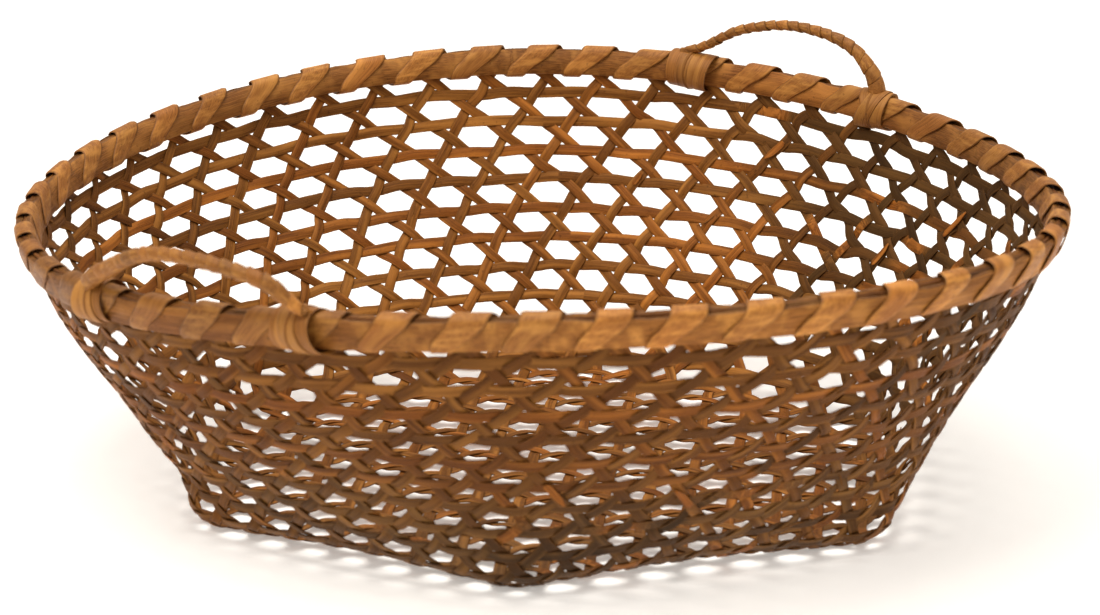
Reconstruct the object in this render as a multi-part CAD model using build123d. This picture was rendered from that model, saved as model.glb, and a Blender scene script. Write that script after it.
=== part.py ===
from build123d import *
import os
from collections import defaultdict
from dataclasses import dataclass
from math import atan2, cos, exp, floor, pi, radians, sin, sqrt
from typing import NamedTuple
import numpy as np

# Winnowing basket, open hexagonal (three-way) weave.
#
# Three sets of parallel splints make a flat hexagonal base.  Every splint turns up at both
# ends to become a leaning stake of the wall, bound by closed horizontal weavers.  The stake
# tips lie between an inner and an outer rim hoop, a cane filler closes the top of the joint
# and a lashing goes round them all.  Two handles are looped round the rim.
#
# All lengths are millimetres.  +Z is up, +X right, -Y the front; the feet stand on z = 0.
# Places round the basket are counted in cells, clockwise from above, starting near +Y.
# Places up the wall are counted in rows above the base's edge; in the base rows are negative.

# ------------------------------------------------------------------ weave
CELLS_PER_SIDE = 8          # open hexagons along one side of the base
CELLS_ROUND = 6 * CELLS_PER_SIDE
CELL_ANGLE = 2 * pi / CELLS_ROUND
WEAVER_ROWS = [.76, 1.5, 2.5, 3.5, 4.5, 5.5, 6.5, 7.5, 8.5, 9.32]   # heights of the weavers
ROWS = len(WEAVER_ROWS)
RIM_ROW = 10.55             # rim centre line
BASE_R = 200.5              # centre of the base to a corner
CELL = BASE_R / CELLS_PER_SIDE
ROW_DEPTH = CELL * sqrt(3) / 2   # one row of cells, measured across the base

# ------------------------------------------------------------------ splints
STAKE_W = 5.3               # splint width
FIRST_WEAVER_W = 4.8        # the lowest weaver is a narrower splint
STAKE_T = 0.60              # splint thickness
LAYER = 1.25                # spacing of the three layers in which the splints lie
RIM_LAYER = 1.0             # the layers close up as they enter the rim
FIRST_OUT = 3.3             # the lowest weaver lies outside the stakes
FOOT_DROP = 0.83            # a splint's edges reach this far below its crossings
TIP_STATIONS = ((.27, .66), (0, .35))   # stake tip: rows below the rim line, stand-off
TURN_UP_AT = (.25, .56)     # extra points between the last base crossing and the first weaver
TURN_UP_PULL = .55          # tangent strength of the curve through them

# ------------------------------------------------------------------ basket shape
WALL_STATIONS = [
    # row, corner radius, height, share of one cell of twist, roundness of the six-sided plan
    (0.0, 200.5, 4.0, 1.03, 0.0),
    (0.5, 203.6, 10.3, 1.0, .12),
    (1.0, 207.2, 18.2, .95, .30),
    (2.0, 214.8, 33.4, .86, .58),
    (3.0, 223.0, 48.2, .74, .66),
    (4.0, 231.6, 62.8, .61, .76),
    (5.0, 240.2, 77.6, .48, .84),
    (6.5, 252.8, 99.4, .30, .96),
    (8.0, 263.3, 121.1, .11, 1.0),
    (9.3, 270.4, 140.6, -.05, 1.0),
    (10.55, 274.8, 160.0, -.20, 1.0),
    (11.2, 276.9, 170.0, -.27, 1.0),
]
FLOOR_STATIONS = [          # row, height
    (-8.0, 6.4), (-2.0, 5.6), (-1.2, 4.2), (-0.6, 2.5), (-0.2, 2.6), (0.0, 4.0),
]
ARCH = 3.2                  # the base's sides arch up between the six feet
ARCH_FADE = 2.2             # rows over which the arch dies away
BASE_TURN = 0.0865          # the base's first corner, clockwise from +Y, radians
BASE_WIDE = .055            # the base is this much wider in x than in y
FOOT_FORE = 16.0            # the base's two side corners stand this much nearer the front
BASE_FADE = 2.2             # power with which the last two die away up the wall
RIM_DX, RIM_DY = -5.5, 2.0  # the hand-made rim isn't quite over the base
TILT_COS, TILT_SIN = 8.6, 7.4          # rim tilt
SADDLE_COS, SADDLE_SIN = 9.0, -3.2     # rim saddle
OVAL_COS2, OVAL_SIN2, OVAL_COS3, OVAL_SIN3 = -.0155, -.028, .004, .010   # uneven rim radius
FLAT_SIDE = .024            # the wall's right side is drawn in a little at mid height
SHIFT_X, SHIFT_Y = 8.30, -2.54   # brings the middle of the outline to x = y = 0

# ------------------------------------------------------------------ rim
# Sections are given as distances outward from and above the rim's centre line.
HOOP_FACES = (1.95, 4.05)   # near and far faces of a hoop from the centre line
HOOP_EDGES = (-7.2, 4.2)    # lower and upper edges of the hoops
FILL_EDGES = (4.8, 7.5)     # bottom and top of the cane filler
FILL_HALF_W = (3.2, 2.3)    # its half width at the bottom and at the top
RING_SAMPLES = 2 * CELLS_ROUND
LASH_A, LASH_B = 5.2, 9.3   # half width and half height of the lashing's inside
LASH_POWER = 4.0            # how square that rounded box is
LASH_T = 0.6                # lashing splint thickness
LASH_W = 12.4               # lashing splint width along the rim
LASH_RIM_R = 274            # rim radius that turns the width into cells
LASH_STEPS = 20             # points in one turn
LASH_SPAN = 5               # steps in one face
LASH_GAP = .25              # cells left free at each end of a lashing
BOX_STEPS = 720             # fineness of the table that spreads a turn evenly

# ------------------------------------------------------------------ handles
LOOP_UP = 0.3               # the loops' centre above the rim's middle
LOOP_R, LOOP_WIRE_R = 12.15, 1.1   # loop radius about the rim's middle, and its thickness
CORE_R = 2.0                # handle core radius
WRAP_R, WRAP_T, WRAP_W = 2.5, 0.5, 6.6   # binding splint round the handle
WRAP_PITCH = 9.6
WRAP_MARGIN = 15.0          # bare length at each end of the handle
WRAP_STEPS = 12             # points in one turn
BINDING_R, BINDING_L = 4.1, 5.0    # short collar near each end
BINDING_CLEAR = .55         # its gap round the core
BINDING_FILLET = .45
BINDING_AT = 6.6            # its centre from the handle's end
HANDLES = {
    # cells where the two loops sit, lean outward from upright in degrees, and the core's
    # line as (share of the span, height above the loops' centres)
    "far": ((3.2, 6.9), -4.0, [
        (.0, LOOP_R), (.02, LOOP_R + 2), (.116, 20.9), (.225, 29.6), (.352, 35.7),
        (.493, 40.0), (.613, 40.9), (.738, 39.5), (.826, 36.6), (.893, 32.0),
        (.952, 24.5), (.992, LOOP_R + 4.5), (1.0, LOOP_R)]),
    "near": ((28.02, 32.02), 34.0, [
        (.0, LOOP_R), (-.010, LOOP_R + 4.5), (-.026, 22.5), (.03, 31.0), (.132, 36.6),
        (.245, 40.0), (.36, 42.3), (.487, 42.6), (.621, 39.2), (.772, 30.2),
        (.86, 24.0), (.965, LOOP_R + 4.0), (1.0, LOOP_R)]),
}

SPAN = 8                    # steps in one face of a long strip
# Corners of a wound band's section: (side of the band, 0 inner or 1 outer face)
BAND_CORNERS = ((1, 0), (-1, 0), (-1, 1), (1, 1))


# ------------------------------------------------------------------ small helpers
def unit(vector):
    return vector / np.linalg.norm(vector)


def vec(point):
    return Vector(*map(float, point))


def compass(angle):
    """Unit plan vector at an angle clockwise from +Y."""
    return np.array([sin(angle), cos(angle)])


def clamp(value, low, high):
    return min(max(value, low), high)


def hermite(t, start, end, start_slope, end_slope):
    return ((1 + 2 * t) * (1 - t) ** 2 * start + t * (1 - t) ** 2 * start_slope
            + t * t * (3 - 2 * t) * end + t * t * (t - 1) * end_slope)


def monotone_curve(xs, ys):
    """Piecewise cubic through the stations that doesn't overshoot them."""
    xs, ys = np.array(xs, float), np.array(ys, float)
    gap = np.diff(xs)
    rise = np.diff(ys) / gap
    slope = np.zeros(len(xs))
    for i in range(1, len(xs) - 1):
        if rise[i - 1] * rise[i] > 0:
            a, b = 2 * gap[i] + gap[i - 1], gap[i] + 2 * gap[i - 1]
            slope[i] = (a + b) / (a / rise[i - 1] + b / rise[i])
    slope[0], slope[-1] = rise[0], rise[-1]

    def value(x):
        x = clamp(x, xs[0], xs[-1])
        i = clamp(int(np.searchsorted(xs, x)) - 1, 0, len(xs) - 2)
        return float(hermite((x - xs[i]) / gap[i], ys[i], ys[i + 1],
                             gap[i] * slope[i], gap[i] * slope[i + 1]))
    return value


# ------------------------------------------------------------------ middle surface
station_rows, *station_columns = zip(*WALL_STATIONS)
radius_at, height_at, twist_at, roundness_at = [
    monotone_curve(station_rows, column) for column in station_columns]
floor_height_at = monotone_curve(*zip(*FLOOR_STATIONS))


def corner(k):
    return compass(k * pi / 3)


def side_normal(k):
    return compass((k + .5) * pi / 3)


def direction(k):
    """Unit vector along side k of the base."""
    return corner(k + 1) - corner(k)


def arch(along, row):
    return ARCH * (.5 - .5 * cos(2 * pi * along)) * exp(-(row / ARCH_FADE) ** 2)


def fore(x, y):
    """How far a point of the base, in plan, is drawn to the front."""
    sideways = sqrt((x / BASE_R) ** 2 + .006) / .87
    return FOOT_FORE * sideways * clamp(.5 - y / BASE_R, 0, 1)


def turned(point, row):
    """A plan point turned clockwise by the basket's twist at a row."""
    t = BASE_TURN + (twist_at(row) - 1) * CELL_ANGLE
    return point[0] * cos(t) + point[1] * sin(t), -point[0] * sin(t) + point[1] * cos(t)


def wall(cell, row):
    """A point of the wall's middle surface."""
    cell = cell % CELLS_ROUND
    side = floor(cell / CELLS_PER_SIDE)
    along = cell / CELLS_PER_SIDE - side
    hexagon = (1 - along) * corner(side) + along * corner(side + 1)
    roundness, radius = roundness_at(row), radius_at(row)
    plan = ((1 - roundness) * hexagon + roundness * compass(cell * CELL_ANGLE)) * radius
    x, y = turned(plan, row)
    rise = clamp(row / RIM_ROW, 0, 1.06)
    angle = atan2(x, y)
    scale = 1 + rise * (OVAL_COS2 * cos(2 * angle) + OVAL_SIN2 * sin(2 * angle)
                        + OVAL_COS3 * cos(3 * angle) + OVAL_SIN3 * sin(3 * angle))
    scale -= FLAT_SIDE * sin(pi * min(rise, 1)) * max(sin(angle), 0)
    base_share = max(1 - rise, 0) ** BASE_FADE
    y -= fore(x * BASE_R / radius, y * BASE_R / radius) * base_share
    x *= 1 + BASE_WIDE * base_share
    z = height_at(row) + arch(along, row) + rise ** 1.5 * (
        TILT_COS * cos(angle) + TILT_SIN * sin(angle)
        + SADDLE_COS * cos(2 * angle) + SADDLE_SIN * sin(2 * angle))
    return np.array([x * scale + RIM_DX * rise + SHIFT_X,
                     y * scale + RIM_DY * rise + SHIFT_Y, z])


def floor_point(plan):
    """The point of the base's middle surface over a plan position, and its row."""
    side = max(range(6), key=lambda k: float(side_normal(k) @ plan))
    row = float(side_normal(side) @ plan) / ROW_DEPTH - CELLS_PER_SIDE
    cells = float((plan - corner(side) * BASE_R) @ direction(side)) / CELL
    side_cells = CELLS_PER_SIDE + row
    along = (cells + row / 2) / side_cells if side_cells > .3 else .5
    z = floor_height_at(row) + arch(clamp(along, 0, 1), row)
    x, y = turned(plan, 0)
    return np.array([x * (1 + BASE_WIDE) + SHIFT_X, y - fore(x, y) + SHIFT_Y, z]), row


# ------------------------------------------------------------------ stakes and crossings
class StakeEnd(NamedTuple):
    lean: int               # +1 leans clockwise up the wall, -1 the other way
    cell: int               # cell of the base's edge where it turns up
    along: float            # signed distance along the stake to that place


class Stake(NamedTuple):
    group: int              # which of the three parallel sets
    offset: int             # place in the set
    ends: list


def stake_end(group, offset, sign):
    """Where a stake meets the base's edge, going with (+1) or against (-1) its direction."""
    start = side_normal(group) * (offset + .5) * ROW_DEPTH
    heading = direction(group) * sign
    reach, side = min(
        ((CELLS_PER_SIDE * ROW_DEPTH - float(side_normal(k) @ start))
         / float(side_normal(k) @ heading), k)
        for k in range(6) if float(side_normal(k) @ heading) > 1e-9)
    meet = start + heading * reach
    cells = float((meet - corner(side) * BASE_R) @ direction(side)) / CELL
    lean = 1 if float(heading @ direction(side)) > 0 else -1
    cell = (side * CELLS_PER_SIDE + int(round(cells - .5))) % CELLS_ROUND
    return StakeEnd(lean, cell, reach * sign)


stakes = [Stake(group, offset, [stake_end(group, offset, sign) for sign in (-1, 1)])
          for group in range(3) for offset in range(-CELLS_PER_SIDE, CELLS_PER_SIDE)]
leaning = {1: {}, -1: {}}   # lean -> cell -> (stake number, end number)
for i, stake in enumerate(stakes):
    for e, end in enumerate(stake.ends):
        leaning[end.lean][end.cell] = (i, e)


@dataclass(eq=False)
class Crossing:
    point: np.ndarray
    row: float
    stand_off: dict         # strand -> its distance outward from the middle surface
    normal: np.ndarray = None

    @property
    def in_base(self):
        return self.row < .5


# A strand is ("stake", number) or ("weaver", number); each has its crossings in order.
crossings = []
strands = defaultdict(list)


def add_crossing(point, row, *passes):
    """Each pass is (strand, position along it, stand-off)."""
    crossing = Crossing(point, row, {strand: off for strand, _, off in passes})
    crossings.append(crossing)
    for strand, along, _ in passes:
        strands[strand].append((along, crossing))


def base_crossings():
    """The three sets lie one on another."""
    for i, one in enumerate(stakes):
        for i2, two in enumerate(stakes[i + 1:], i + 1):
            if one.group == two.group:
                continue
            plan = np.linalg.solve(
                np.array([side_normal(one.group), side_normal(two.group)]),
                np.array([(one.offset + .5) * ROW_DEPTH, (two.offset + .5) * ROW_DEPTH]))
            reach = max(float(side_normal(k) @ plan) for k in range(6))
            if reach > CELLS_PER_SIDE * ROW_DEPTH + .01:
                continue
            add_crossing(*floor_point(plan), *(
                (("stake", n), float(plan @ direction(s.group)), (s.group - 1) * LAYER)
                for n, s in ((i, one), (i2, two))))


def wall_pass(lean, cell, row, spacing):
    """Clockwise-leaning stakes lie outside the middle surface, the others inside."""
    i, e = leaning[lean][cell]
    along = stakes[i].ends[e].along + (1 if e else -1) * row * CELL
    return ("stake", i), along, lean * spacing


def wall_crossings():
    for cell in range(CELLS_ROUND):
        for row in range(1, ROWS + 1):
            spacing = RIM_LAYER if row == ROWS else LAYER
            add_crossing(wall(cell + .5 + row / 2, row), row,
                         wall_pass(1, cell, row, spacing),
                         wall_pass(-1, (cell + row) % CELLS_ROUND, row, spacing))
    for number, row in enumerate(WEAVER_ROWS):
        weaver_off = FIRST_OUT if number == 0 else 0.0
        for cell in range(CELLS_ROUND):
            for lean in (1, -1):
                place = cell + .5 + lean * row / 2
                add_crossing(wall(place, row), row,
                             (("weaver", number), place % CELLS_ROUND, weaver_off),
                             wall_pass(lean, cell, row, LAYER))


base_crossings()
wall_crossings()
strands = {strand: [crossing for _, crossing in sorted(line, key=lambda entry: entry[0])]
           for strand, line in strands.items()}


def stake_tip(i, e, row=RIM_ROW):
    end = stakes[i].ends[e]
    return wall(end.cell + .5 + end.lean * row / 2, row)


def steps(strand):
    """(point before, crossing, point after) along a strand."""
    kind, number = strand
    line = strands[strand]
    points = [crossing.point for crossing in line]
    if kind == "weaver":
        first, last = points[-1], points[0]
    else:
        first, last = stake_tip(number, 0), stake_tip(number, 1)
    return zip([first] + points[:-1], line, points[1:] + [last])


def relax_base_edge(weight=.45):
    """Draw the crossings about the base's edge toward the middle of their neighbours."""
    middles = defaultdict(list)
    for strand in strands:
        for before, crossing, after in steps(strand):
            middles[crossing].append((before + after) / 2)
    for crossing, (one, two) in middles.items():
        if -.8 < crossing.row < 1.2:
            crossing.point = crossing.point * (1 - weight) + weight * (one + two) / 2


def find_normals():
    """Outward normals (downward in the base) from the two strands at each crossing."""
    tangents = defaultdict(list)
    for strand in strands:
        for before, crossing, after in steps(strand):
            tangents[crossing].append(unit(after - before))
    for crossing, (one, two) in tangents.items():
        normal = unit(np.cross(one, two))
        x, y, _ = crossing.point
        outward = np.array([x, y, -60.0 if crossing.row > 0 else -4000.0])
        crossing.normal = normal if float(normal @ outward) > 0 else -normal


def smooth_normals(own=2.2, others=1.8):
    around = defaultdict(list)
    for (kind, _), line in strands.items():
        normals = [crossing.normal for crossing in line]
        first, last = (-1, 0) if kind == "weaver" else (0, -1)
        before = [normals[first]] + normals[:-1]
        after = normals[1:] + [normals[last]]
        for crossing, *pair in zip(line, before, after):
            around[crossing] += pair
    for crossing, normals in around.items():
        crossing.normal = unit(crossing.normal * own + sum(normals) / len(normals) * others)


for _ in range(2):
    relax_base_edge()
find_normals()
smooth_normals()

# Raise everything so that the lowest splint edges touch z = 0.
LIFT = np.array([0, 0, LAYER + STAKE_T / 2 + FOOT_DROP - min(c.point[2] for c in crossings)])
for crossing in crossings:
    crossing.point = crossing.point + LIFT


# ------------------------------------------------------------------ strips
def chord_lengths(points, closed):
    """Running length along the points, back to the first one if closed."""
    points = np.array(points)
    if closed:
        points = np.vstack([points, points[:1]])
    return np.concatenate([[0.0], np.cumsum(np.linalg.norm(np.diff(points, axis=0), axis=1))])


def ribbon_edges(points, normals, width, thick, closed):
    """Four corner curves of a flat strip through the points, with the given normals."""
    points, normals = np.array(points), np.array(normals)
    if closed:
        along = np.roll(points, -1, 0) - np.roll(points, 1, 0)
    else:
        along = np.gradient(points, axis=0)
    along /= np.linalg.norm(along, axis=1)[:, None]
    across = np.cross(normals, along)
    across /= np.linalg.norm(across, axis=1)[:, None]
    out = np.cross(along, across)
    out = np.where(((out * normals).sum(1) < 0)[:, None], -out, out)
    return [points + across * a * width / 2 + out * b * thick / 2
            for a, b in ((1, 1), (-1, 1), (-1, -1), (1, -1))]


def curve_slopes(curve, lengths, closed):
    slopes = np.empty_like(curve)
    slopes[1:-1] = (curve[2:] - curve[:-2]) / (lengths[2:] - lengths[:-2])[:, None]
    first_gap, last_gap = lengths[1] - lengths[0], lengths[-1] - lengths[-2]
    if closed:
        slopes[0] = slopes[-1] = (curve[1] - curve[-2]) / (first_gap + last_gap)
    else:
        slopes[0] = (curve[1] - curve[0]) / first_gap
        slopes[-1] = (curve[-1] - curve[-2]) / last_gap
    return slopes


def strip_solid(curves, closed, lengths, span=SPAN):
    """A solid bounded by ruled faces between four neighbouring corner curves.

    The curves are cut at the same points into spans of steps, which meet smoothly.
    """
    curves = [np.array(curve, float) for curve in curves]
    if closed:
        curves = [np.vstack([curve, curve[:1]]) for curve in curves]
    slopes = [curve_slopes(curve, lengths, closed) for curve in curves]
    last = len(curves[0]) - 1
    cuts = list(range(0, last, span))
    if last - cuts[-1] < span // 2 and len(cuts) > 1:
        cuts.pop()
    cuts.append(last)
    faces = []
    for i, j in zip(cuts, cuts[1:]):
        edges = [Edge.make_spline([vec(point) for point in curve[i:j + 1]],
                                  tangents=[vec(slope[i]), vec(slope[j])],
                                  parameters=[float(u - lengths[i]) for u in lengths[i:j + 1]],
                                  scale=False)
                 for curve, slope in zip(curves, slopes)]
        faces += [Face.make_surface_from_curves(edge, following)
                  for edge, following in zip(edges, edges[1:] + edges[:1])]
    if not closed:
        for q in (0, -1):
            a, b, c, d = [vec(curve[q]) for curve in curves]
            faces.append(Face.make_surface_from_curves(Edge.make_line(a, b),
                                                       Edge.make_line(d, c)))
    shell = Shell(faces)
    solid = Solid(shell)
    if solid.volume < 0:    # the faces point inward
        solid = Solid(Shell(shell.wrapped.Reversed()))
    return solid


# ------------------------------------------------------------------ splints
def turn_up(strand, before, start, end, after):
    """Points and normals where a stake changes layers between the base and the wall."""
    start_slope = (end.point - before.point) * TURN_UP_PULL
    end_slope = (after.point - start.point) * TURN_UP_PULL
    for t in TURN_UP_AT:
        point = hermite(t, start.point, end.point, start_slope, end_slope)
        normal = unit(start.normal * (1 - t) + end.normal * t)
        nearer = start if t < .5 else end
        yield point + normal * nearer.stand_off[strand], normal


def strand_path(strand):
    """Points and normals of one splint through its crossings."""
    kind, number = strand
    line = strands[strand]
    path = []
    for q, crossing in enumerate(line):
        path.append((crossing.point + crossing.normal * crossing.stand_off[strand],
                     crossing.normal))
        following = line[(q + 1) % len(line)]
        if crossing.in_base != following.in_base:
            path += turn_up(strand, line[q - 1], crossing, following, line[q + 2])
    if kind == "stake":
        for e, crossing in enumerate((line[0], line[-1])):
            normal = crossing.normal
            side = 1 if crossing.stand_off[strand] > 0 else -1
            tips = [(stake_tip(number, e, RIM_ROW - below) + LIFT + normal * side * off, normal)
                    for below, off in TIP_STATIONS]
            path = path + tips if e else tips[::-1] + path
    return zip(*path)


def strand_solid(strand):
    points, normals = strand_path(strand)
    closed = strand[0] == "weaver"
    width = FIRST_WEAVER_W if strand == ("weaver", 0) else STAKE_W
    return strip_solid(ribbon_edges(points, normals, width, STAKE_T, closed), closed,
                       chord_lengths(points, closed))


def stake_pair(group, offset):
    """The two stakes of a set that lie equally far from the base's centre."""
    return Compound([strand_solid(("stake", i)) for i, stake in enumerate(stakes)
                     if stake.group == group and stake.offset in (offset, -1 - offset)])


# ------------------------------------------------------------------ rim
def rim_frame(cell):
    """Centre, outward and upward directions of the rim's section."""
    center = wall(cell, RIM_ROW) + LIFT
    along = unit(wall(cell + .05, RIM_ROW) - wall(cell - .05, RIM_ROW))
    up = wall(cell, RIM_ROW + .3) - wall(cell, RIM_ROW - .5)
    up = unit(up - along * float(up @ along))
    out = np.cross(up, along)
    if float(out @ np.array([center[0], center[1], 0])) < 0:
        out = -out
    return center, out, up


def rim_point(cell, outward, upward):
    center, out, up = rim_frame(cell)
    return center + out * outward + up * upward


def rim_ring(section):
    frames = [rim_frame(i * CELLS_ROUND / RING_SAMPLES) for i in range(RING_SAMPLES)]
    curves = [[center + out * a + up * b for center, out, up in frames] for a, b in section]
    return strip_solid(curves, True, chord_lengths([frame[0] for frame in frames], True))


def rim_hoop(near, far):
    low, high = HOOP_EDGES
    return rim_ring([(near, low), (far, low), (far, high), (near, high)])


def rim_filler():
    (low, high), (bottom, top) = FILL_EDGES, FILL_HALF_W
    return rim_ring([(-bottom, low), (bottom, low), (top, high), (-top, high)])


def lash_section(phi, grow):
    """Rounded box the lashing runs on: phi = 0 below the rim, 90 degrees inside it."""
    s, c = sin(phi), cos(phi)
    r = (abs(s / (LASH_A + grow)) ** LASH_POWER
         + abs(c / (LASH_B + grow)) ** LASH_POWER) ** (-1 / LASH_POWER)
    return -r * s, -r * c


# A turn is evenly spread in distance round the box, not in angle.
BOX_ANGLES = [2 * pi * i / BOX_STEPS for i in range(BOX_STEPS + 1)]
BOX_SHARES = chord_lengths([lash_section(phi, 0) for phi in BOX_ANGLES], False)
BOX_SHARES /= BOX_SHARES[-1]


def rim_lashing(start, end):
    """A splint wound one turn per cell."""
    half_width = LASH_W / 2 / (LASH_RIM_R * CELL_ANGLE)
    curves = [[], [], [], []]
    middle = []
    for i in range(int(round((end - start) * LASH_STEPS)) + 1):
        cell = start + i / LASH_STEPS
        phi = float(np.interp(cell % 1, BOX_SHARES, BOX_ANGLES))
        for curve, (side, face) in zip(curves, BAND_CORNERS):
            curve.append(rim_point(cell + side * half_width,
                                   *lash_section(phi, face * LASH_T)))
        middle.append(rim_point(cell, *lash_section(phi, 0)))
    return strip_solid(curves, False, chord_lengths(middle, False), LASH_SPAN)


# ------------------------------------------------------------------ handles
class Handle:
    def __init__(self, cells, lean, profile):
        self.loops = [rim_point(cell, 0, LOOP_UP) for cell in cells]
        start, end = self.loops
        self.across = unit(end - start)
        upright = np.array([0, 0, 1.0])
        upright = unit(upright - self.across * float(upright @ self.across))
        out = np.cross(self.across, upright)
        middle = (start + end) / 2
        if float(out @ np.array([middle[0], middle[1], 0])) < 0:
            out = -out
        up = upright * cos(radians(lean)) + out * sin(radians(lean))
        self.side = np.cross(self.across, up)
        self.path = Edge.make_spline(
            [vec(start + (end - start) * share + up * height) for share, height in profile])
        self.length = self.path.length

    def core(self):
        """The rod with a ring round the rim at each end."""
        section = Plane(origin=self.path @ 0, z_dir=self.path % 0) * Circle(CORE_R)
        core = sweep(section, path=self.path)
        for center in self.loops:
            plane = Plane(origin=vec(center), z_dir=vec(self.across))
            core = core + plane * Torus(LOOP_R, LOOP_WIRE_R)
        return core

    def around(self, at, radius, phi):
        """A point at a radius from the path, a distance along it."""
        center = np.array(tuple(self.path.position_at(at / self.length)))
        tangent = np.array(tuple(self.path.tangent_at(at / self.length)))
        normal = unit(np.cross(tangent, self.side))
        return center + radius * (cos(phi) * self.side + sin(phi) * normal)

    def wrap(self):
        """The splint wound round the core."""
        wound = self.length - 2 * WRAP_MARGIN
        last = int(wound / WRAP_PITCH * WRAP_STEPS)
        curves = [[], [], [], []]
        middle = []
        for i in range(last + 1):
            run = wound * i / last
            at = WRAP_MARGIN + run
            phi = 2 * pi * run / WRAP_PITCH
            for curve, (side, face) in zip(curves, BAND_CORNERS):
                curve.append(self.around(at + side * WRAP_W / 2, WRAP_R + face * WRAP_T, phi))
            middle.append(self.around(at, WRAP_R, phi))
        return strip_solid(curves, False, chord_lengths(middle, False))

    def binding(self, at):
        """A rounded collar round the core."""
        share = at / self.length
        plane = Plane(origin=self.path.position_at(share), z_dir=self.path.tangent_at(share))
        ring = Cylinder(BINDING_R, BINDING_L) - Cylinder(CORE_R + BINDING_CLEAR, 8.0)
        ring = fillet(ring.edges(), BINDING_FILLET)
        return plane * ring


# ------------------------------------------------------------------ output
def save(name, shape):
    export_step(shape, f"parts/{name}.step", write_pcurves=False)


def build():
    os.makedirs("parts", exist_ok=True)
    for group, letter in enumerate("abc"):
        for offset in range(CELLS_PER_SIDE):
            save(f"stake_pair_{letter}{offset + 1}", stake_pair(group, offset))
    for number in range(ROWS):
        save(f"wall_weaver_{number + 1:02d}", strand_solid(("weaver", number)))

    near, far = HOOP_FACES
    save("rim_hoop_inner", rim_hoop(-far, -near))
    save("rim_hoop_outer", rim_hoop(near, far))
    save("rim_filler", rim_filler())
    half = CELLS_ROUND / 2
    save("rim_lashing_first", rim_lashing(LASH_GAP, half - LASH_GAP))
    save("rim_lashing_second", rim_lashing(half + LASH_GAP, CELLS_ROUND - LASH_GAP))

    for name, design in HANDLES.items():
        handle = Handle(*design)
        save(f"handle_{name}_core", handle.core())
        save(f"handle_{name}_wrap", handle.wrap())
        save(f"handle_{name}_binding_left", handle.binding(BINDING_AT))
        save(f"handle_{name}_binding_right", handle.binding(handle.length - BINDING_AT))


if __name__ == "__main__":
    build()
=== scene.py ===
from collections import namedtuple
from math import pi, sin, cos, radians, atan2, exp, sqrt, floor
from types import SimpleNamespace

import bpy
import numpy as np
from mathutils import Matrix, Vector


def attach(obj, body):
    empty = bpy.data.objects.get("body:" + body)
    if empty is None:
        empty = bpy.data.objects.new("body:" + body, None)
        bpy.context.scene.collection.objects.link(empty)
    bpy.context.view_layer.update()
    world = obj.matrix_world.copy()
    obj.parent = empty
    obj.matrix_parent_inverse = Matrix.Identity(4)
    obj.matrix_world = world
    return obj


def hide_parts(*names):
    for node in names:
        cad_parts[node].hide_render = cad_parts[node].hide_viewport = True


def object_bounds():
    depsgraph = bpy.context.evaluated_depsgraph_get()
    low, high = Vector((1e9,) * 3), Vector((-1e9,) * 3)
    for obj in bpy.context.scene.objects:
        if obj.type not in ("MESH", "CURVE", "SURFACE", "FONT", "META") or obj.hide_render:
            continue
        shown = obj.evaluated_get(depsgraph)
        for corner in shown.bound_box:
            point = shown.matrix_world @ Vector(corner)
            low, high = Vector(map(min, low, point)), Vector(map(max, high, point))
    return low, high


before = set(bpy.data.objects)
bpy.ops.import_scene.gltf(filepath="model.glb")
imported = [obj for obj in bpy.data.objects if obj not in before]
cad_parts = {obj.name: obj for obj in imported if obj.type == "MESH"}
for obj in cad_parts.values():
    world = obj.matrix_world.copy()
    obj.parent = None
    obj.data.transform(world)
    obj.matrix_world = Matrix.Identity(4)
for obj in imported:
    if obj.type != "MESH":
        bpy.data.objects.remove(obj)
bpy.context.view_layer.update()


def current_box():
    return [list(map(float, end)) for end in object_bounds()]


# ------------------------------------------------------------------ dimensions
# Places on the wall are given by a cell number, clockwise from the back seen from above,
# and a level, counted in weaver rows up from the edge of the base.
CELLS_PER_SIDE = 8
CELLS = 6 * CELLS_PER_SIDE
CELL_ANGLE = 2 * pi / CELLS
ROWS = 10
BASE_R = 200.5                            # centre to corner of the hexagon
RIM_LEVEL = 10.55
CELL = BASE_R / CELLS_PER_SIDE
STAKE_STEP = CELL * sqrt(3) / 2           # between parallel stakes of the base
BASE_APOTHEM = CELLS_PER_SIDE * STAKE_STEP

# level, radius, height, twist in cells, roundness (0 hexagon, 1 circle)
WALL_STATIONS = [
    (0.0, BASE_R, 4.0, 1.03, 0.0), (0.5, 203.6, 10.3, 1.0, .12), (1.0, 207.2, 18.2, .95, .30),
    (2.0, 214.8, 33.4, .86, .58), (3.0, 223.0, 48.2, .74, .66), (4.0, 231.6, 62.8, .61, .76),
    (5.0, 240.2, 77.6, .48, .84), (6.5, 252.8, 99.4, .30, .96), (8.0, 263.3, 121.1, .11, 1.0),
    (9.3, 270.4, 140.6, -.05, 1.0), (RIM_LEVEL, 274.8, 160.0, -.20, 1.0),
    (11.2, 276.9, 170.0, -.27, 1.0)]
# level (negative inside the edge of the base), height
BASE_STATIONS = [(-8.0, 6.4), (-2.0, 5.6), (-1.2, 4.2), (-0.6, 2.5), (-0.2, 2.6), (0.0, 4.0)]

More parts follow.
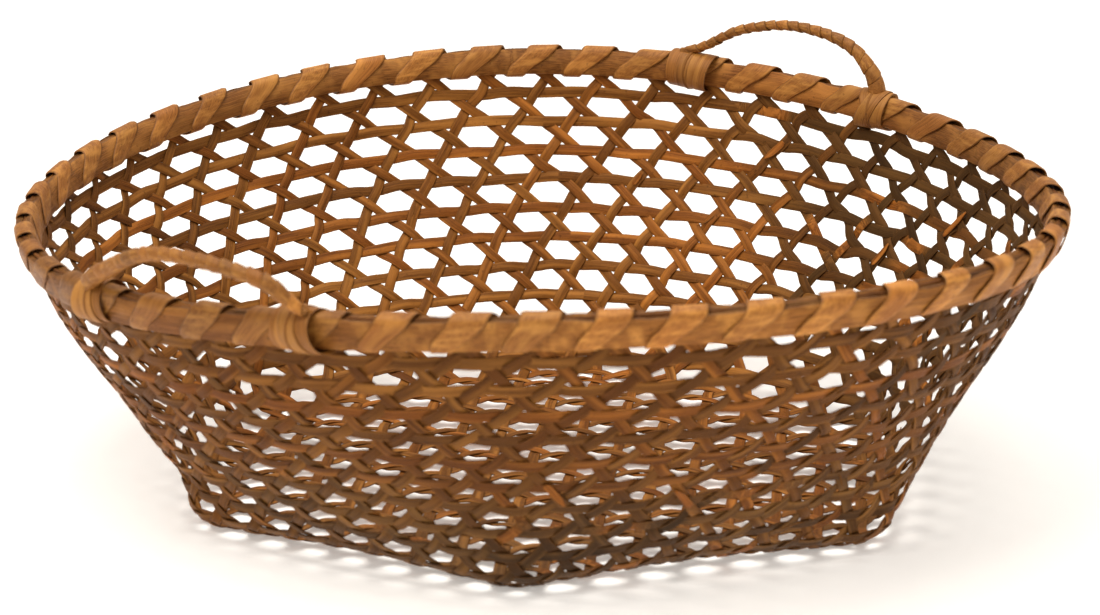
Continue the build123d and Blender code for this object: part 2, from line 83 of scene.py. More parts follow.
ARCH = 3.2                                # rise of the base edge between two corners
TURN = 0.0865                             # turn of the whole basket, radians
RIM_DX, RIM_DY = -5.5, 2.0                # rim's offset from the base
TILT_BACK, TILT_RIGHT = 8.6, 7.4          # rim's rise at the back and at the right
SADDLE_COS, SADDLE_SIN = 9.0, -3.2        # two-lobed rise and fall of the rim
OVAL_COS2, OVAL_SIN2, OVAL_COS3, OVAL_SIN3 = -.0155, -.028, .004, .010
BASE_WIDE = .055                          # extra width of the base, as a share
FLAT_SIDE, LEFT_PINCH = .024, .030        # right and left sides drawn in, as shares
FOOT_FORE = 16.0                          # front corners of the base drawn forward
FOOT_FADE = 2.2                           # power by which the base's own shape fades upwards
SHIFT_X, SHIFT_Y = 8.30, -2.54            # place of the whole basket
LIFT = np.array([0, 0, -1.0360])

WEAVE_STAND = 0.62            # how far a splint stands off the weave's middle at a crossing
STAKE_WIDTH, WEAVER_WIDTH, SPLINT_THICK = 6.2, 6.5, .85
# outline of a splint, as shares of its width and thickness
SPLINT = np.array([[-.5, -.12], [-.475, .36], [-.40, .485], [-.28, .5], [.28, .5],
                   [.40, .485], [.475, .36], [.5, -.12], [.44, -.5], [-.44, -.5]])


# ----------------------------------------------------------------- small maths
def clamp(x, low, high):
    return min(max(x, low), high)


def unit(a):
    return a / np.maximum(np.linalg.norm(a, axis=-1, keepdims=True), 1e-9)


def path_length(points):
    """Distance along a line of points, at each point."""
    return np.concatenate([[0], np.cumsum(np.linalg.norm(np.diff(points, axis=0), axis=1))])


def smooth_step(a, b, x):
    t = np.clip((x - a) / (b - a), 0, 1)
    return t * t * (3 - 2 * t)


def monotone(xs, ys):
    """A smooth curve through the points that doesn't overshoot between them."""
    xs, ys = np.array(xs, float), np.array(ys, float)
    step = np.diff(xs)
    rise = np.diff(ys) / step
    slope = np.zeros(len(xs))
    for i in range(1, len(xs) - 1):
        if rise[i - 1] * rise[i] > 0:
            a, b = 2 * step[i] + step[i - 1], step[i] + 2 * step[i - 1]
            slope[i] = (a + b) / (a / rise[i - 1] + b / rise[i])
    slope[0], slope[-1] = rise[0], rise[-1]

    def curve(x):
        x = clamp(x, xs[0], xs[-1])
        i = clamp(int(np.searchsorted(xs, x)) - 1, 0, len(xs) - 2)
        t = (x - xs[i]) / step[i]
        return float((1 + 2 * t) * (1 - t) ** 2 * ys[i]
                     + t * (1 - t) ** 2 * step[i] * slope[i]
                     + t * t * (3 - 2 * t) * ys[i + 1]
                     + t * t * (t - 1) * step[i] * slope[i + 1])
    return curve


def hermite(points, place, slopes, i, t):
    """Points at share t of the way from point i to the next one."""
    i2 = (i + 1) % len(points)
    step = (place[i + 1] - place[i])[:, None]
    t = t[:, None]
    return ((1 + 2 * t) * (1 - t) ** 2 * points[i] + t * (1 - t) ** 2 * step * slopes[i]
            + t * t * (3 - 2 * t) * points[i2] + t * t * (t - 1) * step * slopes[i2])


def natural_spline(points, samples):
    """Natural cubic spline through the points, sampled evenly in chord length."""
    points = np.array(points)
    u = path_length(points)
    n = len(u)
    h = np.diff(u)
    system, load = np.zeros((n, n)), np.zeros((n, 3))
    system[0, 0] = system[-1, -1] = 1
    for i in range(1, n - 1):
        system[i, i - 1:i + 2] = h[i - 1], 2 * (h[i - 1] + h[i]), h[i]
        load[i] = 6 * ((points[i + 1] - points[i]) / h[i]
                       - (points[i] - points[i - 1]) / h[i - 1])
    bend = np.linalg.solve(system, load)
    x = np.linspace(0, u[-1], samples)
    i = np.clip(np.searchsorted(u, x) - 1, 0, n - 2)
    a, b = (u[i + 1] - x)[:, None], (x - u[i])[:, None]
    step = h[i][:, None]
    return ((bend[i] * a ** 3 + bend[i + 1] * b ** 3) / (6 * step)
            + (points[i] / step - bend[i] * step / 6) * a
            + (points[i + 1] / step - bend[i + 1] * step / 6) * b)


def wander(n, size, waves, closed, r):
    """A smooth random curve of n samples that swings about `waves` times."""
    x = np.linspace(0, 1, n, endpoint=not closed)
    y = np.zeros(n)
    for q in range(1, 5):
        f = max(1, round(waves * q / 2)) if closed else waves * q / 2
        y += r.normal() * np.sin(2 * pi * (f * x + r.random())) / q
    return size * y / 1.3


# ------------------------------------------------------- surface of the basket
levels, *wall_columns = zip(*WALL_STATIONS)
wall_radius, wall_height, wall_twist, wall_roundness = (monotone(levels, c)
                                                        for c in wall_columns)
base_height = monotone(*zip(*BASE_STATIONS))


def corner(side):
    return np.array([sin(side * pi / 3), cos(side * pi / 3)])


def side_normal(side):
    return np.array([sin((side + .5) * pi / 3), cos((side + .5) * pi / 3)])


def side_direction(side):
    return corner(side + 1) - corner(side)


def arch(share, level):
    """Rise of the base edge at a share of the way along a side."""
    return ARCH * (.5 - .5 * cos(2 * pi * share)) * exp(-(level / 2.2) ** 2)


def fore(x, y):
    """How far a point of the base, in plan, is drawn to the front."""
    x, y = x / BASE_R, y / BASE_R
    return FOOT_FORE * sqrt(x ** 2 + .006) / .87 * clamp(.5 - y, 0, 1)


def turned(point, level):
    """A plan point, turned clockwise by the basket's turn and the twist at this level."""
    t = TURN + (wall_twist(level) - 1) * CELL_ANGLE
    return point[0] * cos(t) + point[1] * sin(t), -point[0] * sin(t) + point[1] * cos(t)


def wall(cell, level):
    """Point on the middle surface of the wall."""
    cell = cell % CELLS
    side = floor(cell / CELLS_PER_SIDE)
    share = cell / CELLS_PER_SIDE - side
    hexagon = (1 - share) * corner(side) + share * corner(side + 1)
    circle = np.array([sin(cell * CELL_ANGLE), cos(cell * CELL_ANGLE)])
    roundness, radius = wall_roundness(level), wall_radius(level)
    x, y = turned(((1 - roundness) * hexagon + roundness * circle) * radius, level)

    up = clamp(level / RIM_LEVEL, 0, 1.06)
    foot = max(1 - up, 0) ** FOOT_FADE
    angle = atan2(x, y)                   # clockwise from the back
    scale = 1 + up * (OVAL_COS2 * cos(2 * angle) + OVAL_SIN2 * sin(2 * angle)
                      + OVAL_COS3 * cos(3 * angle) + OVAL_SIN3 * sin(3 * angle))
    scale -= FLAT_SIDE * sin(pi * min(up, 1)) * max(sin(angle), 0)
    pinch = sin(pi * min(max(level, 0) / 4.0, 1)) ** 2
    scale -= LEFT_PINCH * pinch * max(-sin(angle), 0) ** 3
    y -= fore(x * BASE_R / radius, y * BASE_R / radius) * foot
    x *= 1 + BASE_WIDE * foot
    lean = (TILT_BACK * cos(angle) + TILT_RIGHT * sin(angle)
            + SADDLE_COS * cos(2 * angle) + SADDLE_SIN * sin(2 * angle))
    z = wall_height(level) + arch(share, level) + up ** 1.5 * lean
    return np.array([x * scale + RIM_DX * up + SHIFT_X, y * scale + RIM_DY * up + SHIFT_Y, z])


def base_point(plan):
    """Point on the base above a point of the regular hexagon, and its level."""
    side = max(range(6), key=lambda k: float(side_normal(k) @ plan))
    level = float(side_normal(side) @ plan) / STAKE_STEP - CELLS_PER_SIDE
    along = float((plan - corner(side) * BASE_R) @ side_direction(side)) / CELL
    length = CELLS_PER_SIDE + level       # of the hexagon ring through this point, in cells
    share = (along + level / 2) / length if length > .3 else .5
    z = base_height(level) + arch(clamp(share, 0, 1), level)
    x, y = turned(plan, 0)
    return np.array([x * (1 + BASE_WIDE) + SHIFT_X, y - fore(x, y) + SHIFT_Y, z]), level


# ----------------------------------------------------------- the woven network
# A stake crosses the base along one of three directions and climbs the wall at both ends.
Stake = namedtuple("Stake", "direction row ends")
# lean: +1 climbs clockwise, -1 the other way; reach: signed distance from the stake's middle
End = namedtuple("End", "lean cell reach")


def stake_end(start, way):
    """Where a stake that runs from its middle along `way` meets the edge of the base."""
    reach = None
    for k in range(6):
        approach = float(side_normal(k) @ way)
        if approach > 1e-9:
            distance = (BASE_APOTHEM - float(side_normal(k) @ start)) / approach
            if reach is None or distance < reach:
                reach, side = distance, k
    edge = side_direction(side)
    along = float((start + way * reach - corner(side) * BASE_R) @ edge) / CELL
    lean = 1 if float(way @ edge) > 0 else -1
    return lean, (side * CELLS_PER_SIDE + int(round(along - .5))) % CELLS, reach


stakes = []
for d in range(3):
    for row in range(-CELLS_PER_SIDE, CELLS_PER_SIDE):
        ends = []
        for sign in (-1, 1):
            lean, cell, reach = stake_end(side_normal(d) * (row + .5) * STAKE_STEP,
                                          side_direction(d) * sign)
            ends.append(End(lean, cell, reach * sign))
        stakes.append(Stake(d, row, ends))

# the stake and end that start up the wall at each cell, by the way they lean
clockwise, anticlockwise = {}, {}
for i, stake in enumerate(stakes):
    for e, end in enumerate(stake.ends):
        (clockwise if end.lean > 0 else anticlockwise)[end.cell] = (i, e)


class Crossing:
    """Where two strands cross. A strand is ("stake", i) or ("weaver", row)."""

    def __init__(self, point, level, faces):
        self.point, self.level = point, level
        self.faces = faces                # strand -> 1 on the outside, -1 on the inside
        self.along = {}                   # strand -> its direction here
        self.normal = None                # outwards, or down under the base


crossings = []
strands = {}                              # strand -> [(place along it, crossing)]
clockwise_on_weaver = {}                  # (weaver row, cell) -> crossing


def add_crossing(point, level, sign, first, second):
    """first and second are (strand, place along it); sign is the face of the first."""
    c = Crossing(point, level, {first[0]: sign, second[0]: -sign})
    crossings.append(c)
    for strand, place in (first, second):
        strands.setdefault(strand, []).append((place, c))
    return c


def cross_base():
    """Each of the three directions passes outside one of the others and inside the third."""
    other = stakes[clockwise[4][0]].direction
    passes_outside = {0: other, other: 3 - other, 3 - other: 0}
    for i, a in enumerate(stakes):
        for i2 in range(i + 1, len(stakes)):
            b = stakes[i2]
            if b.direction == a.direction:
                continue
            across = np.array([side_normal(a.direction), side_normal(b.direction)])
            offsets = np.array([(a.row + .5) * STAKE_STEP, (b.row + .5) * STAKE_STEP])
            plan = np.linalg.solve(across, offsets)
            if max(float(side_normal(k) @ plan) for k in range(6)) > BASE_APOTHEM + .01:
                continue
            point, level = base_point(plan)
            add_crossing(point, level, 1 if passes_outside[a.direction] == b.direction else -1,
                         (("stake", i), float(plan @ side_direction(a.direction))),
                         (("stake", i2), float(plan @ side_direction(b.direction))))


def on_wall(i, e, level):
    """A stake as a strand, and a place along it that grows with its height on the wall."""
    return ("stake", i), stakes[i].ends[e].reach + (1 if e else -1) * level * CELL * .7


def cross_wall():
    for k in range(CELLS):
        for level in range(1, ROWS + 1):
            add_crossing(wall(k + .5 + level / 2, level), level, 1,
                         on_wall(*clockwise[k], level),
                         on_wall(*anticlockwise[(k + level) % CELLS], level))
    for row in range(ROWS):
        level = row + .5
        for k in range(CELLS):
            for lean, starts in ((1, clockwise), (-1, anticlockwise)):
                cell = k + .5 + lean * level / 2
                c = add_crossing(wall(cell, level), level, lean,
                                 (("weaver", row), cell % CELLS), on_wall(*starts[k], level))
                if lean > 0:
                    clockwise_on_weaver[row, k] = c


def tip(i, e, level):
    end = stakes[i].ends[e]
    return wall(end.cell + .5 + end.lean * level / 2, level)


def on_strand(strand):
    return [c for _, c in strands[strand]]


def neighbours(strand):
    """Crossings of a strand, with the points before and after each."""
    own = on_strand(strand)
    points = [c.point for c in own]
    if strand[0] == "weaver":
        return own, points[-1:] + points[:-1], points[1:] + points[:1]
    return (own, [tip(strand[1], 0, RIM_LEVEL)] + points[:-1],
            points[1:] + [tip(strand[1], 1, RIM_LEVEL)])


def relax_edge():
    """Draw the crossings about the edge of the base towards their neighbours."""
    for _ in range(2):
        middles = {}
        for strand in strands:
            for c, before, after in zip(*neighbours(strand)):
                middles.setdefault(c, []).append((before + after) / 2)
        for c, (m1, m2) in middles.items():
            if -.8 < c.level < 1.2:
                c.point = c.point * .55 + .45 * (m1 + m2) / 2


def find_normals():
    for strand in strands:
        for c, before, after in zip(*neighbours(strand)):
            c.along[strand] = unit(after - before)
    for c in crossings:
        n = unit(np.cross(*c.along.values()))
        out = np.array([c.point[0], c.point[1], -60.0 if c.level > 0 else -4000.0])
        c.normal = n if float(n @ out) > 0 else -n


def soften_normals():
    around = {}
    for strand in strands:
        own = on_strand(strand)
        last = len(own) - 1
        for q, c in enumerate(own):
            if strand[0] == "weaver":
                pair = own[q - 1], own[(q + 1) % len(own)]
            else:
                pair = own[max(q - 1, 0)], own[min(q + 1, last)]
            around.setdefault(c, []).extend(x.normal for x in pair)
    for c, near in around.items():
        c.normal = unit(c.normal * 2.2 + sum(near) / len(near) * 1.8)


def unsettle():
    """Hand work: every crossing sits a little off its true place, more so at the right."""
    rng = np.random.default_rng(20417)
    for c in crossings:
        right = clamp((c.point[0] - 90) / 110, 0, 1) * (c.level > 1.5)
        jig = rng.normal(0, .45, 3) * (1 if c.level > .8 else .55) * (1 + 1.1 * right)
        jig -= c.normal * float(jig @ c.normal)
        c.point = c.point + LIFT + jig


cross_base()
cross_wall()
for places in strands.values():
    places.sort(key=lambda entry: entry[0])
relax_edge()
find_normals()
soften_normals()
unsettle()


# -------------------------------------------------------------------- materials
class Shader:
    """An empty node tree and short ways to fill it."""

    def __init__(self, name):
        self.mat = bpy.data.materials.new(name)
        self.mat.use_nodes = True
        self.tree = self.mat.node_tree
        self.tree.nodes.clear()
        self.link = self.tree.links.new

    def node(self, kind, **settings):
        node = self.tree.nodes.new(kind)
        for key, value in settings.items():
            setattr(node, key, value)
        return node

    def feed(self, socket, x):
        """Give a socket a number, a colour or a link."""
        if isinstance(x, (int, float)):
            socket.default_value = x
        elif isinstance(x, tuple):
            socket.default_value = (*x, 1)
        else:
            self.link(x, socket)

    def math(self, operation, *values, clamp=False):
        node = self.node("ShaderNodeMath", operation=operation, use_clamp=clamp)
        for socket, x in zip(node.inputs, values):
            self.feed(socket, x)
        return node.outputs[0]

    def part(self, x, amount, clamp=False):
        return self.math("MULTIPLY", x, amount, clamp=clamp)

    def mix(self, share, a, b, blend="MIX"):
        node = self.node("ShaderNodeMix", data_type="RGBA", blend_type=blend)
        for socket, x in ((0, share), (6, a), (7, b)):
            self.feed(node.inputs[socket], x)
        return node.outputs[2]

    def fade(self, x, start, end):
        """0 at start, 1 at end, smooth between."""
        node = self.node("ShaderNodeMapRange", interpolation_type="SMOOTHSTEP")
        self.feed(node.inputs[0], x)
        node.inputs[1].default_value, node.inputs[2].default_value = start, end
        return node.outputs[0]

    def scaled(self, *axes):
        """A texture place made of (value, scale) pairs."""
        node = self.node("ShaderNodeCombineXYZ")
        for socket, (x, scale) in zip(node.inputs, axes):
            self.link(self.part(x, scale), socket)
        return node.outputs[0]

    def noise(self, place, scale, detail=3.0, roughness=.55):
        node = self.node("ShaderNodeTexNoise", noise_dimensions="3D")
        self.link(place, node.inputs["Vector"])
        node.inputs["Scale"].default_value = scale
        node.inputs["Detail"].default_value = detail
        node.inputs["Roughness"].default_value = roughness
        return node.outputs[0]


def toned(colour, gain):
    return tuple(min(1, gain * q) for q in colour)


def splint_textures(s, grain):
    """What the mesh carries (UV and tint) and the noises made from it."""
    uv = s.node("ShaderNodeUVMap", uv_map="UVMap")
    uv_parts = s.node("ShaderNodeSeparateXYZ")
    s.link(uv.outputs[0], uv_parts.inputs[0])
    along, across = uv_parts.outputs[0], uv_parts.outputs[1]
    tint = s.node("ShaderNodeAttribute", attribute_name="tint")
    tint_parts = s.node("ShaderNodeSeparateColor")
    s.link(tint.outputs["Color"], tint_parts.inputs[0])
    bright, warmth, age = tint_parts.outputs[:3]
    place = s.node("ShaderNodeTexCoord").outputs["Object"]
    fibres = s.scaled((along, 2.0), (across, 15.0 * grain), (warmth, 37.0))
    fibre = s.noise(fibres, scale=1.6, detail=5.0, roughness=.62)
    scratches = s.scaled((along, 9.0), (across, 46.0 * grain), (bright, 11.0))
    fine = s.noise(scratches, scale=1.0, roughness=.6)
    patches = s.scaled((along, 1.1), (across, 1.4), (warmth, 51.0))
    return SimpleNamespace(
        across=across, bright=bright, warmth=warmth, age=age, low=tint.outputs["Alpha"],
        fibre=fibre, fine=fine,
        patch=s.noise(patches, scale=1.0, detail=2.0, roughness=.5),   # slow change
        stain=s.noise(place, scale=17.0, roughness=.6),                # dirt
        speck=s.noise(place, scale=420.0, detail=2.0, roughness=.6))


def fibre_colour(s, t, dark, mid, light):
    c = s.mix(s.fade(t.fibre, start=.34, end=.66), dark, mid)
    c = s.mix(s.part(s.fade(t.patch, start=.42, end=.72), amount=.85), c, light)
    c = s.mix(s.part(s.fade(t.fine, start=.52, end=.75), amount=.38), c, light)
    c = s.mix(s.part(s.fade(t.fine, start=.5, end=.28), amount=.42), c, dark)
    # warm splints, then dirt over the whole basket
    for mask, start, end, amount, filter_colour in (
            (t.warmth, .55, 1.0, .42, (1.28, .92, .55)),
            (t.stain, .50, .70, .38, (.62, .56, .5))):
        share = s.part(s.fade(mask, start, end), amount)
        c = s.mix(share, c, s.mix(1.0, c, filter_colour, "MULTIPLY"))
    return c


def weathered(s, t, c, aged):
    # age: a grey-brown bloom with mottling
    bloom = s.mix(s.fade(t.stain, start=.38, end=.62), aged, toned(aged, gain=2.1))
    bloom = s.mix(s.part(s.fade(t.fine, start=.45, end=.7), amount=.5), bloom,
                  toned(aged, gain=3.0))
    c = s.mix(s.part(t.age, amount=.82, clamp=True), c, bloom)
    # the foot of the front is duller and more olive, with dark stains
    c = s.mix(s.part(t.low, amount=.38, clamp=True), c,
              s.mix(s.fade(t.patch, start=.35, end=.65),
                    (.105, .058, .019), (.215, .125, .045)))
    stained = s.part(t.low, s.fade(t.stain, start=.50, end=.64))
    c = s.mix(s.part(stained, amount=.55, clamp=True), c, (.040, .021, .0085))
    # brightness of the single splint, with the painted light and shade by place that the tint
    # carries, never below a floor
    gain = s.math("ADD", s.part(t.bright, amount=.13), 1.0)
    gain = s.math("MAXIMUM", gain, .42)
    grey = s.node("ShaderNodeCombineColor")
    for socket in range(3):
        s.link(gain, grey.inputs[socket])
    return s.mix(1.0, c, grey.outputs[0], "MULTIPLY")


def edged(s, t, c, dark, light):
    """Darker edges, a worn light line just inside them in places, and specks."""
    edge = s.math("ABSOLUTE", s.math("SUBTRACT", t.across, .5))
    worn = s.part(s.fade(edge, start=.36, end=.43), s.fade(t.fine, start=.48, end=.66))
    c = s.mix(s.part(worn, amount=.35), c, toned(light, gain=1.35))
    c = s.mix(s.part(s.fade(edge, start=.42, end=.5), amount=.62), c, toned(dark, gain=.42))
    return s.mix(s.part(s.fade(t.speck, start=.62, end=.74), amount=.45), c,
                 toned(dark, gain=.4))


def splint_material(name, dark, mid, light, aged, rough=(.42, .68), grain=1.0, bump=.35,
                    specular=.22):
    """rough: roughness on and between the fibres; grain: fineness across the splint."""
    s = Shader(name)
    t = splint_textures(s, grain)
    c = fibre_colour(s, t, dark, mid, light)
    c = weathered(s, t, c, aged)
    c = edged(s, t, c, dark, light)

    bsdf = s.node("ShaderNodeBsdfPrincipled")
    out = s.node("ShaderNodeOutputMaterial")
    s.link(c, bsdf.inputs["Base Color"])
    roughness = s.node("ShaderNodeMapRange")
    s.link(t.fibre, roughness.inputs[0])
    for socket, x in enumerate((.3, .7, rough[1], rough[0]), 1):   # from and to ranges
        roughness.inputs[socket].default_value = x
    s.link(s.math("ADD", roughness.outputs[0], s.part(t.age, amount=.12), clamp=True),
           bsdf.inputs["Roughness"])
    bsdf.inputs["Specular IOR Level"].default_value = specular
    bsdf.inputs["Coat Weight"].default_value = 0.0
    bsdf.inputs["Coat Roughness"].default_value = .35
    relief = s.math("ADD", s.part(t.fibre, amount=1.0), s.part(t.fine, amount=.55))
    bump_node = s.node("ShaderNodeBump")
    bump_node.inputs["Strength"].default_value = bump
    bump_node.inputs["Distance"].default_value = .0006
    s.link(relief, bump_node.inputs["Height"])
    s.link(bump_node.outputs[0], bsdf.inputs["Normal"])
    s.link(bsdf.outputs[0], out.inputs[0])
    return s.mat


MATERIALS = {
    "wall_splint": splint_material(
        "wall_splint", dark=(.080, .0255, .0034), mid=(.230, .081, .0118),
        light=(.392, .157, .029), aged=(.030, .0150, .0040), specular=.12),
    "rim_cane": splint_material(
        "rim_cane", dark=(.135, .045, .0075), mid=(.335, .124, .021),
        light=(.48, .205, .042), aged=(.045, .022, .007), grain=1.6, bump=.5, rough=(.45, .7)),
    "lashing_splint": splint_material(
        "lashing_splint", dark=(.215, .073, .0105), mid=(.41, .156, .026),
        light=(.54, .236, .047), aged=(.07, .034, .010), rough=(.40, .62), bump=.3,
        specular=.26),
    "filler_cane": splint_material(
        "filler_cane", dark=(.070, .024, .0048), mid=(.215, .080, .0155),
        light=(.35, .148, .033), aged=(.04, .020, .007), rough=(.6, .85), bump=.8),
}


# ---------------------------------------------------------------- mesh building
def splint_section(width, thick):
    """Splint outline at each sample, for an array of widths."""
    section = np.repeat(SPLINT[None], len(width), 0)
    section[:, :, 0] *= width[:, None]
    section[:, :, 1] *= thick
    return section


class Builder:
    """Collects quads with a UV map and a tint: brightness with any painted light and shade,
    warmth, age, front foot.
    """

    def __init__(self):
        self.points, self.quads, self.uvs, self.tints = [], [], [], []
        self.count = 0

    def strip(self, rings, centre, across, tint, closed=False, start=0.0, cap_start=0.0):
        """Skin rings (n, m, 3) of points strung on a centre line.

        U runs along the line from start, V is `across`; open ends are capped.
        """
        n, m = rings.shape[:2]
        arc = path_length(centre)
        if closed:
            arc = np.append(arc, arc[-1] + np.linalg.norm(centre[-1] - centre[0]))
        across = np.broadcast_to(across, (n, m))
        i, j = np.arange(n if closed else n - 1)[:, None], np.arange(m)[None]
        i2, j2 = (i + 1) % n, (j + 1) % m
        corners = ((i, j, 0), (i, j2, 0), (i2, j2, 1), (i2, j, 1))
        quads = np.stack([a * m + b for a, b, _ in corners], -1).reshape(-1, 4)
        uv = np.stack([np.stack([arc[i + ahead] + 0 * j, across[a, b]], -1)
                       for a, b, ahead in corners], 2).reshape(-1, 2)
        uv[:, 0] = uv[:, 0] * .01 + start
        if not closed:
            cap = np.array([[a, a + 1, m - 2 - a, m - 1 - a] for a in range(m // 2 - 1)])
            quads = np.vstack([quads, cap[:, ::-1], cap + (n - 1) * m])
            uv = np.vstack([uv, np.tile([cap_start, .5], (len(cap) * 8, 1))])
        points = rings.reshape(-1, 3)
        # quads must face outwards
        a, b, c, d = points[quads[0]]
        if float(np.cross(b - a, d - a) @ ((a + b + c + d) / 4 - rings[0].mean(0))) < 0:
            quads = quads[:, ::-1]
            uv = uv.reshape(-1, 4, 2)[:, ::-1].reshape(-1, 2)
        self.points.append(points)
        self.quads.append(quads + self.count)
        self.uvs.append(uv)
        self.tints.append(np.repeat(np.broadcast_to(tint, (n, 4)), m, 0))
        self.count += len(points)

    def sweep(self, centre, sideways, normal, section, tint, closed=False, start=0.0,
              across=None):
        """section is (m, 2) or (n, m, 2): offsets along sideways and normal."""
        section = np.broadcast_to(section, (len(centre),) + np.shape(section)[-2:])
        sideways = np.broadcast_to(sideways, centre.shape)
        rings = (centre[:, None] + sideways[:, None] * section[:, :, 0:1]
                 + normal[:, None] * section[:, :, 1:2])
        if across is None:
            half = np.abs(section[:, :, 0]).max(axis=1)[:, None] + 1e-6
            across = section[:, :, 0] / half * .5 + .5
        self.strip(rings, centre, across, tint, closed, start, cap_start=start)

    def rod(self, centre, sideways, normal, sides, radii, tint, closed=False):
        """An oval rod; radii are sideways and along the normal, numbers or arrays."""
        a = np.arange(sides) * 2 * pi / sides
        wide, thick = (np.reshape(radius, (-1, 1)) for radius in radii)
        section = np.stack([np.cos(a) * wide, np.sin(a) * thick], -1)
        self.sweep(centre, sideways, normal, section, tint, closed,
                   across=.5 + .3 * np.cos(a))

    def finish(self, name, slot, body="basket"):
        """Make the object and put it in place of the CAD piece of the same name."""
        points, quads = np.vstack(self.points) * .001, np.vstack(self.quads)
        me = bpy.data.meshes.new("look_" + name)
        me.vertices.add(len(points))
        me.vertices.foreach_set("co", points.astype(np.float32).ravel())
        me.loops.add(len(quads) * 4)
        me.loops.foreach_set("vertex_index", quads.astype(np.int32).ravel())
        me.polygons.add(len(quads))
        me.polygons.foreach_set("loop_start", np.arange(len(quads), dtype=np.int32) * 4)
        uv_layer = me.uv_layers.new(name="UVMap")
        uv_layer.data.foreach_set("uv", np.vstack(self.uvs).astype(np.float32).ravel())
        tint = me.attributes.new("tint", "FLOAT_COLOR", "POINT")
        tint.data.foreach_set("color", np.vstack(self.tints).astype(np.float32).ravel())
        me.polygons.foreach_set("use_smooth", np.full(len(quads), True))
        me.update(calc_edges=True)
        me.validate()
        me.materials.append(MATERIALS[slot])
        ob = bpy.data.objects.new("look_" + name, me)
        bpy.context.scene.collection.objects.link(ob)
        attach(ob, body)
        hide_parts(name)


# --------------------------------------------------------------- woven splints
STEPS = np.array([0, .24, .4, .5, .6, .76])       # samples between two crossings


def frames(centre, normal, closed):
    """Sideways and normal directions square to the line."""
    if closed:
        ahead = np.roll(centre, -1, 0) - np.roll(centre, 1, 0)
    else:
        ahead = np.gradient(centre, axis=0)
    ahead = unit(ahead)
    sideways = unit(np.cross(normal, ahead))
    return sideways, unit(np.cross(ahead, sideways))


def woven_path(strand):
    """Centre points and normals of a splint that passes over and under."""
    own = on_strand(strand)
    points = [c.point for c in own]
    normal = [c.normal for c in own]
    stand = [c.faces[strand] * WEAVE_STAND for c in own]
    closed = strand[0] == "weaver"
    if not closed:
        # run both ends of a stake up between the rim hoops
        for e, c in ((0, own[0]), (1, own[-1])):
            side = -1 if c.faces[strand] > 0 else 1
            more = [tip(strand[1], e, RIM_LEVEL + rise) + LIFT for rise in (-.22, .12)]
            more_stand = [side * .8, side * .5]
            if e == 0:
                points, normal = more[::-1] + points, [c.normal] * 2 + normal
                stand = more_stand[::-1] + stand
            else:
                points, normal = points + more, normal + [c.normal] * 2
                stand = stand + more_stand
    points, normal, stand = np.array(points), np.array(normal), np.array(stand)
    n = len(points)
    if closed:
        place = path_length(np.vstack([points, points[:1]]))
        gaps = np.diff(place)
        slopes = np.roll(points, -1, 0) - np.roll(points, 1, 0)
        slopes = slopes / (gaps + np.roll(gaps, 1))[:, None]
    else:
        place = path_length(points)
        slopes = np.gradient(points, place, axis=0)
    spans = n if closed else n - 1
    i = np.repeat(np.arange(spans), len(STEPS))
    t = np.tile(STEPS, spans)
    i2 = (i + 1) % n
    centre = hermite(points, place, slopes, i, t)
    normals = unit(normal[i] * (1 - t)[:, None] + normal[i2] * t[:, None])
    q = smooth_step(.2, .8, t)
    height = stand[i] * (1 - q) + stand[i2] * q
    if not closed:
        centre = np.vstack([centre, points[-1:]])
        normals = np.vstack([normals, normal[-1:]])
        height = np.append(height, stand[-1])
    return centre + normals * height[:, None], normals, closed


def tint_by_place(centre, bright, warmth, extra_age, r):
    """Tint at each sample of a splint: old at the right, dull at the foot of the front,
    painted shade on the front and painted light at the back.
    """
    n = len(centre)
    x, y, z = centre.T
    beside = smooth_step(-170, -40, y)
    age = .95 * smooth_step(145, 240, x + .25 * y) * beside
    age += .55 * smooth_step(150, 240, x) * (1 - beside)
    low = (1 - smooth_step(35, 85, z)) * smooth_step(60, 200, -y)
    age = age * (1 - .4 * low)
    tint = np.zeros((n, 4))
    tint[:, 0] = bright
    tint[:, 1] = warmth
    tint[:, 2] = np.clip(age + extra_age, 0, 1)
    tint[:, 3] = low
    # painted shade on the front and painted light at the back left: the front is darker and
    # the back brighter
    tint[:, 0] -= 2.1 * smooth_step(70, 170, -y)
    tint[:, 0] += 2.4 * smooth_step(-170, -20, x) * smooth_step(0, 140, y) * (1 - age)
    # here and there in worn places a length of splint is fresh and bright
    worn = np.maximum(low, age)
    for _ in range(5 if n > 200 else 1):
        middle = r.random() * n
        fresh = np.exp(-((np.arange(n) - middle) / (4 + 7 * r.random())) ** 4)
        fresh = fresh * (worn > .25) * (r.random() < .45)
        tint[:, 0] += 2.0 * fresh
        tint[:, 1] = tint[:, 1] * (1 - fresh) + fresh * .95
        tint[:, 2] *= 1 - .9 * fresh
        tint[:, 3] *= 1 - .9 * fresh
    return tint


def splint(bld, strand, r, width):
    centre, normal, closed = woven_path(strand)
    sideways, normal = frames(centre, normal, closed)
    n = len(centre)
    widths = (width * (1 + r.normal(0, .035)) + wander(n, .20, n / 60, closed, r)
              + wander(n, .08, n / 9, closed, r))
    centre = centre + sideways * wander(n, .35, n / 140, closed, r)[:, None]
    roll = wander(n, .045, n / 40, closed, r)[:, None]
    rolled = sideways * np.cos(roll) + normal * np.sin(roll)
    normal = normal * np.cos(roll) - sideways * np.sin(roll)
    section = splint_section(widths, SPLINT_THICK * (1 + r.normal(0, .07)))
    bright, warmth, age = r.normal(0, 1), r.random(), 0.0
    # a few splints are greyed, but not the top weaver, and a few are pale and warm
    if r.random() < .10 and strand != ("weaver", ROWS - 1):
        age = .45
    if r.random() < .07:
        bright, warmth, age = 1.9, 1.0, -.25
    tint = tint_by_place(centre, bright, warmth, age, r)
    bld.sweep(centre, rolled, normal, section, tint, closed, start=float(r.random() * 40))


